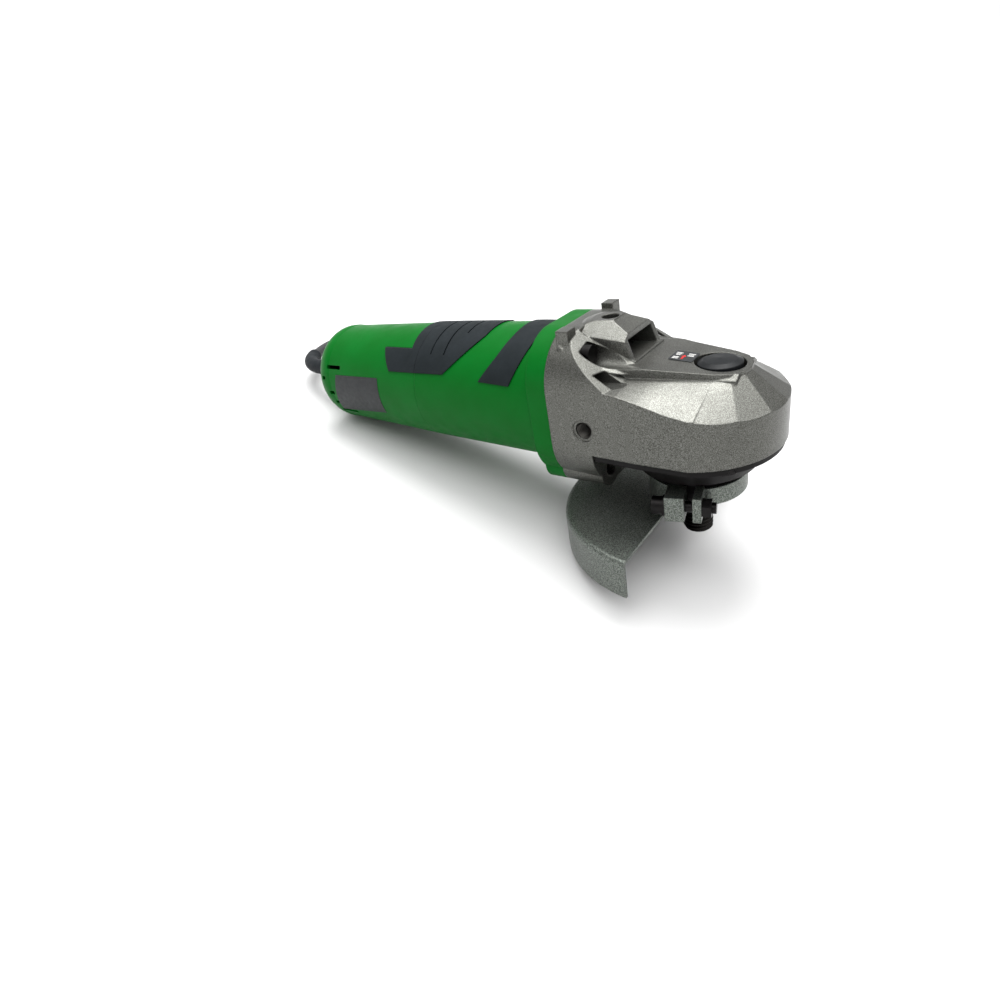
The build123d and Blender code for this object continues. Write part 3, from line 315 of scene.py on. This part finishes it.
FINISHES = {
    CAST: ["gear_case"],
    SHEET: ["wheel_guard", "guard_band"],
    GREEN: ["motor_housing", "tail_cover"],
    GRIP: ["main_grip", "rear_grip_right", "rear_grip_left", "front_stripe"],
    BADGE: ["badge_plates", "arrow_label"],
    BLACK_CAST: ["bearing_cover"],
    BLACK_PLASTIC: ["switch_knob", "switch_body", "air_baffle", "cord_clamp", "plug_body"],
    BLACK_RUBBER: ["button_seal", "strain_relief"],
    BUTTON: ["lock_button"],
    PALE_PLASTIC: ["cooling_fan"],
    GASKET: ["gasket"],
    CARBON: ["carbon_brushes"],
    CAPACITOR: ["capacitor"],
    BLACK_STEEL: [
        "case_screws", "cover_screws", "tail_screw", "clamp_bar_screws", "plate_screws",
        "stator_screws", "clamp_screw", "clamp_nut", "spindle",
    ],
    STEEL: [
        "lock_pin", "lock_spring", "gear_key", "spindle_circlip", "armature_shaft", "pinion_nut",
        "bearing_plate", "switch_rod", "brush_springs",
    ],
    GEAR_STEEL: ["ring_gear", "pinion"],
    BEARING_STEEL: ["spindle_bearing", "front_bearing", "rear_bearing"],
    BRONZE: ["spindle_bush"],
    BRASS: ["brush_holders"],
    PIN_PLATING: ["plug_pins"],
    COPPER: ["armature_windings", "commutator", "stator_coils"],
    SHEETS: ["armature_core", "stator_core"],
    JACKET: ["inner_cord", "cord_tube", "cord_coil"],
    STRAP: ["cord_tie"],
}


def shade_cad_nodes():
    for shader, nodes in FINISHES.items():
        for node in nodes:
            shade(node, shader)


# ---------------------------------------------------------------- mains lead
# The lead lies in the world's axes, in mm, with Z up from the floor.
CORD_R = 3.5
CORD_CLEARANCE = 0.1  # between the lead's lowest turn and the floor
CORD_ROUTE = [
    (-160.76, 18.0, 12.23), (-172.4, 38.8, 9.5), (-173.5, 62.0, 5.6), (-164.0, 83.0, 3.7),
    (-145.0, 97.5, 3.6), (-119.0, 104.0, 3.6), (-92.0, 113.0, 3.6), (-65.0, 126.0, 3.6),
    (-41.0, 133.0, 3.6), (-17.9, 136.8, 3.6),
]
COIL_CENTRE = (-10.0, 92.0)
COIL_RADII = (45.5, 38.5, 31.5, 31.5, 38.5, 45.5, 45.5, 45.5)  # of each turn
COIL_LAYERS = (0, 0, 0, 1, 1, 1, 2, 2)
COIL_START = math.radians(100)  # where the lead joins the coil
COIL_TURNS = 7 + 40 / 360
COIL_POINTS = 18  # for each turn
COIL_SHARE = 0.16  # of a turn, over which the lead steps across or climbs
COIL_OUTSET = 1.008  # the curve runs a little inside its control points
PLUG_LEAD = (22.0, 126.05, 17.6)
PLUG_NECK = (33.0, 119.7, 17.5)


def step(value):
    """Rises smoothly from 0 to 1."""
    value = min(1.0, max(0.0, value))
    return value * value * (3 - 2 * value)


def coil_point(turns):
    """The lead's centre after this many turns, in mm."""
    whole = int(turns)
    part = turns - whole
    before = COIL_RADII[max(0, whole - 1)]
    radius = before + (COIL_RADII[whole] - before) * step(part / COIL_SHARE)
    layer = COIL_LAYERS[whole]
    if whole + 1 < len(COIL_LAYERS):
        layer += (COIL_LAYERS[whole + 1] - layer) * step((part - 1 + COIL_SHARE) / COIL_SHARE)
    angle = COIL_START - 2 * math.pi * turns
    radius *= COIL_OUTSET
    x, y = COIL_CENTRE
    z = CORD_R + CORD_CLEARANCE + 2 * CORD_R * layer
    return (x + radius * math.cos(angle), y + radius * math.sin(angle), z)


def make_cord():
    """The mains lead, from the boot to the plug by way of its coil."""
    points = list(CORD_ROUTE[:-1])
    count = round(COIL_TURNS * COIL_POINTS)
    points += [coil_point(COIL_TURNS * i / count) for i in range(count + 1)]
    points += [PLUG_LEAD, PLUG_NECK]
    curve = bpy.data.curves.new("mains_lead", "CURVE")
    curve.dimensions = "3D"
    curve.bevel_depth = CORD_R * MM
    curve.bevel_resolution = 6
    curve.resolution_u = 6
    curve.use_fill_caps = True
    spline = curve.splines.new("NURBS")
    spline.points.add(len(points) - 1)
    for point, place in zip(spline.points, points):
        point.co = (*(Vector(place) * MM), 1.0)
    spline.order_u = 3
    spline.use_endpoint_u = True
    lead = bpy.data.objects.new("mains_lead", curve)
    bpy.context.collection.objects.link(lead)
    shade(lead, JACKET)
    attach(lead, "tool")
    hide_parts("cord_tube", "cord_coil")
    return lead


# ---------------------------------------------------------------- floor and light
FLOOR_HALF = 40.0  # metres, so that its far edge meets the world's pale horizon
FLOOR_DROP = 0.0002  # metres, which keeps the floor off the parts that rest on it
SUN_FROM = Vector((-0.28, 0.295, 0.913))  # towards the main soft light
SUN_SPREAD = math.radians(32)
SUN_STRENGTH = 2.5
WORLD_CEILING = 3.6  # strength overhead
WORLD_BANDS = (  # height and share of the ceiling's strength
    (0.0, 0.285), (0.07, 0.285), (0.14, 0.14), (0.62, 0.14), (0.84, 1.0),
)


def make_floor():
    """A plain pale floor out to the horizon."""
    made = bmesh.new()
    corners = [(-1, -1), (1, -1), (1, 1), (-1, 1)]
    made.faces.new([made.verts.new((x * FLOOR_HALF, y * FLOOR_HALF, -FLOOR_DROP)) for x, y in corners])
    floor = mesh_object("floor", made)
    shader = Shader("floor", (0.55, 0.55, 0.55), 0.9, Specular_IOR_Level=0.1)
    shader.paint(shader.noise(3, 2.0), (0.545, 0.545, 0.545), (0.555, 0.555, 0.555))
    floor.data.materials.append(shader.material)


def studio_world():
    """A room lit from above: pale at the horizon, dark walls at mid height and a bright ceiling."""
    world = bpy.data.worlds.new("studio")
    world.use_nodes = True
    tree = world.node_tree
    direction = tree.nodes.new("ShaderNodeTexCoord")
    parts = tree.nodes.new("ShaderNodeSeparateXYZ")
    height = tree.nodes.new("ShaderNodeValToRGB")
    strength = tree.nodes.new("ShaderNodeMath")
    strength.operation = "MULTIPLY"
    strength.inputs[1].default_value = WORLD_CEILING
    ramp = height.color_ramp
    while len(ramp.elements) < len(WORLD_BANDS):
        ramp.elements.new(0.5)
    for element, (place, share) in zip(ramp.elements, WORLD_BANDS):
        element.position = place
        element.color = (share, share, share, 1.0)
    background = tree.nodes["Background"]
    background.inputs["Color"].default_value = (1.0, 1.0, 1.0, 1.0)
    tree.links.new(direction.outputs["Generated"], parts.inputs["Vector"])
    tree.links.new(parts.outputs["Z"], height.inputs["Fac"])
    tree.links.new(height.outputs["Color"], strength.inputs[0])
    tree.links.new(strength.outputs["Value"], background.inputs["Strength"])
    bpy.context.scene.world = world


def light_scene():
    studio_world()
    sun = bpy.data.lights.new("key", "SUN")
    sun.energy = SUN_STRENGTH
    sun.angle = SUN_SPREAD
    lamp = bpy.data.objects.new("key", sun)
    lamp.rotation_euler = SUN_FROM.to_track_quat("Z", "Y").to_euler()
    bpy.context.collection.objects.link(lamp)
    bpy.context.scene.view_settings.view_transform = "Standard"


# ---------------------------------------------------------------- threads, strap and label
COLLAR_R = 9.6
FLAT_HALF = 8.5  # half the size across the collar's two flats
FLAT_TOP = -42.0
SPINDLE_PROFILE = (  # radius and z of the spindle above its thread, from the collar up
    (COLLAR_R, -48.0), (COLLAR_R, -28.6), (7.8, -28.6), (7.8, -28.0), (6.0, -28.0), (6.0, -17.7),
    (5.5, -17.7), (5.5, -3.9), (4.0, -3.9), (4.0, 7.0),
)
THREAD = {"radius": 7.0, "depth": 1.15, "pitch": 2.0, "low": -66.0, "high": -48.0}
TIP_CHAMFER = 1.3
RUN_OUT = 1.2  # length over which the thread fades below the collar
PLAIN_END = 0.6  # length without thread above that
TURN_STEPS = 72
ROW_STEP = 0.2
RIDGE_GAIN = 1.25  # steepens a thread's flanks, so that its root is flat
CREST_FLAT = 0.12  # share of the flank cut off into a flat crest


def round_mesh(name, rows, shader, body, capped=False):
    """A mesh from rings of points in tool millimetres, all with the same count."""
    made = bmesh.new()
    verts = [[made.verts.new(TOOL @ Vector(point)) for point in row] for row in rows]
    for low, high in zip(verts, verts[1:]):
        for i in range(len(low)):
            j = (i + 1) % len(low)
            made.faces.new((low[i], low[j], high[j], high[i])).smooth = True
    if capped:
        made.faces.new(verts[0])
        made.faces.new(verts[-1])
    bmesh.ops.recalc_face_normals(made, faces=made.faces)
    piece = mesh_object(name, made)
    shade(piece, shader)
    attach(piece, body)
    return piece


def ridge(phase):
    """How far a thread's flank lies below its crest, from 0 to 1, over one pitch."""
    wave = abs(2 * (phase % 1.0) - 1)
    return min(1.0, max(0.0, RIDGE_GAIN * wave - CREST_FLAT))


def make_spindle():
    """The spindle, with its thread as a real helix."""
    rows = []
    low, high = THREAD["low"], THREAD["high"]
    count = round((high - low) / ROW_STEP)
    for i in range(count + 1):
        z = low + (high - low) * i / count
        chamfer = max(0.0, TIP_CHAMFER - (z - low))
        fade = min(1.0, max(0.0, (high - PLAIN_END - z) / RUN_OUT))
        row = []
        for k in range(TURN_STEPS):
            angle = 2 * math.pi * k / TURN_STEPS
            cut = THREAD["depth"] * ridge(z / THREAD["pitch"] - k / TURN_STEPS) * fade
            radius = THREAD["radius"] - max(cut, chamfer)
            row.append((radius * math.cos(angle), radius * math.sin(angle), z))
        rows.append(row)
    for radius, z in SPINDLE_PROFILE:
        row = []
        for k in range(TURN_STEPS):
            angle = 2 * math.pi * k / TURN_STEPS
            widest = FLAT_HALF if radius == COLLAR_R and z < FLAT_TOP else radius
            y = max(-widest, min(widest, radius * math.sin(angle)))
            row.append((radius * math.cos(angle), y, z))
        rows.append(row)
    piece = round_mesh("spindle_bar", rows, DARK_THREAD, "spindle", capped=True)
    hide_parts("spindle")


SIDE_HOLE = (-37.9, -2.8)  # x and z of both side holes
HOLE_ENDS = (24.0, 34.3)  # how far out the lining starts and ends
HOLE_R = 3.96
HOLE_THREAD_DEPTH = 0.65
HOLE_PITCH = 1.25
HOLE_TURN_STEPS = 48
HOLE_ROW_STEP = 0.15


def make_hole_thread(side):
    """The thread inside one side hole, as a thin lining."""
    x, z = SIDE_HOLE
    inner, outer = HOLE_ENDS
    rows = []
    count = round((outer - inner) / HOLE_ROW_STEP)
    for i in range(count + 1):
        y = inner + (outer - inner) * i / count
        row = []
        for k in range(HOLE_TURN_STEPS):
            angle = 2 * math.pi * k / HOLE_TURN_STEPS
            radius = HOLE_R - HOLE_THREAD_DEPTH * ridge(y / HOLE_PITCH - k / HOLE_TURN_STEPS)
            row.append((x + radius * math.cos(angle), side * y, z + radius * math.sin(angle)))
        rows.append(row)
    name = "hole_thread_left" if side > 0 else "hole_thread_right"
    round_mesh(name, rows, HOLE_THREAD, "tool")


STRAP_WIDTH = 16.0
STRAP_RIM = 2.4  # rounding of the strap's path round the coil
STRAP_BOX = (42.0, 65.0, 0.6, 21.9)  # y and z limits of the strap's middle surface
STRAP_THICKNESS = 0.8
STRAP_CORNER_STEPS = 6
STRAP_STEPS = 8  # across its width
STRAP_SWAY = 0.35  # how far its edges wander
STRAP_WAVE = 1.7  # radians of that wander from one row to the next


def make_strap():
    """The hook-and-loop strap round the coil: a rounded loop whose edges wander a little."""
    low_y, high_y, low_z, high_z = STRAP_BOX
    path = []
    corners = ((high_y, low_z, -90), (high_y, high_z, 0), (low_y, high_z, 90), (low_y, low_z, 180))
    for y, z, start in corners:
        centre_y = y - STRAP_RIM if y == high_y else y + STRAP_RIM
        centre_z = z - STRAP_RIM if z == high_z else z + STRAP_RIM
        for i in range(STRAP_CORNER_STEPS + 1):
            angle = math.radians(start + 90 * i / STRAP_CORNER_STEPS)
            path.append((centre_y + STRAP_RIM * math.cos(angle), centre_z + STRAP_RIM * math.sin(angle)))
    made = bmesh.new()
    near_x = COIL_CENTRE[0] - STRAP_WIDTH / 2
    rows = []
    for i, (y, z) in enumerate(path):
        sway = STRAP_SWAY * math.sin(STRAP_WAVE * i)
        across = [near_x + STRAP_WIDTH * k / STRAP_STEPS + sway for k in range(STRAP_STEPS + 1)]
        rows.append([made.verts.new((MM * x, MM * y, MM * z)) for x in across])
    for low, high in zip(rows, rows[1:] + rows[:1]):
        for k in range(STRAP_STEPS):
            made.faces.new((low[k], low[k + 1], high[k + 1], high[k])).smooth = True
    bmesh.ops.recalc_face_normals(made, faces=made.faces)
    strap = mesh_object("coil_strap", made)
    skin = strap.modifiers.new("thickness", "SOLIDIFY")
    skin.thickness = STRAP_THICKNESS * MM
    skin.offset = 0.0
    shade(strap, STRAP)
    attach(strap, "tool")
    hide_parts("cord_tie")
    return strap


LABEL_CENTRE = (-5.0, 0.0, 20.87)  # on the label's face
LABEL_SLOPE = -0.092857  # rise of the label's face per mm forward
LABEL_LIFT = 0.03  # of the printed marks off that face
LABEL_MARKS = (  # x, y, length along x and width along y of each printed bar, from the label's centre
    (-2.9, 2.9, 2.6, 0.7), (-2.9, 1.7, 2.6, 0.7), (-2.9, 0.5, 1.9, 0.7),
    (2.6, 2.9, 2.9, 0.7), (2.6, 1.7, 2.3, 0.7), (2.6, 0.5, 2.9, 0.7),
    (-2.9, -2.0, 2.6, 0.9), (-2.9, -3.4, 2.6, 0.9),
)
LABEL_ARROW = (
    (-0.4, -3.6), (0.5, -3.6), (0.5, -0.9), (1.2, -0.9), (0.05, 1.0), (-1.1, -0.9), (-0.4, -0.9),
)


def label_point(x, y):
    """A point just above the label's face, from x and y off its centre."""
    cx, cy, cz = LABEL_CENTRE
    return TOOL @ Vector((cx + x, cy + y, cz + LABEL_SLOPE * x + LABEL_LIFT))


def printed(name, outlines, shader):
    """Flat printed marks on the label."""
    made = bmesh.new()
    for outline in outlines:
        made.faces.new([made.verts.new(label_point(x, y)) for x, y in outline])
    piece = mesh_object(name, made)
    shade(piece, shader)
    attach(piece, "tool")


def make_label():
    """Plain bars and an arrow in place of print."""
    bars = []
    for x, y, length, width in LABEL_MARKS:
        back, front = x - length / 2, x + length / 2
        right, left = y - width / 2, y + width / 2
        bars.append([(back, right), (front, right), (front, left), (back, left)])
    printed("label_bars", bars, PRINT_WHITE)
    printed("label_arrow", [LABEL_ARROW], PRINT_RED)


make_camera()
lead = make_cord()
shade_cad_nodes()
make_spindle()
for side in (-1, 1):
    make_hole_thread(side)
strap = make_strap()
make_label()
make_floor()
light_scene()
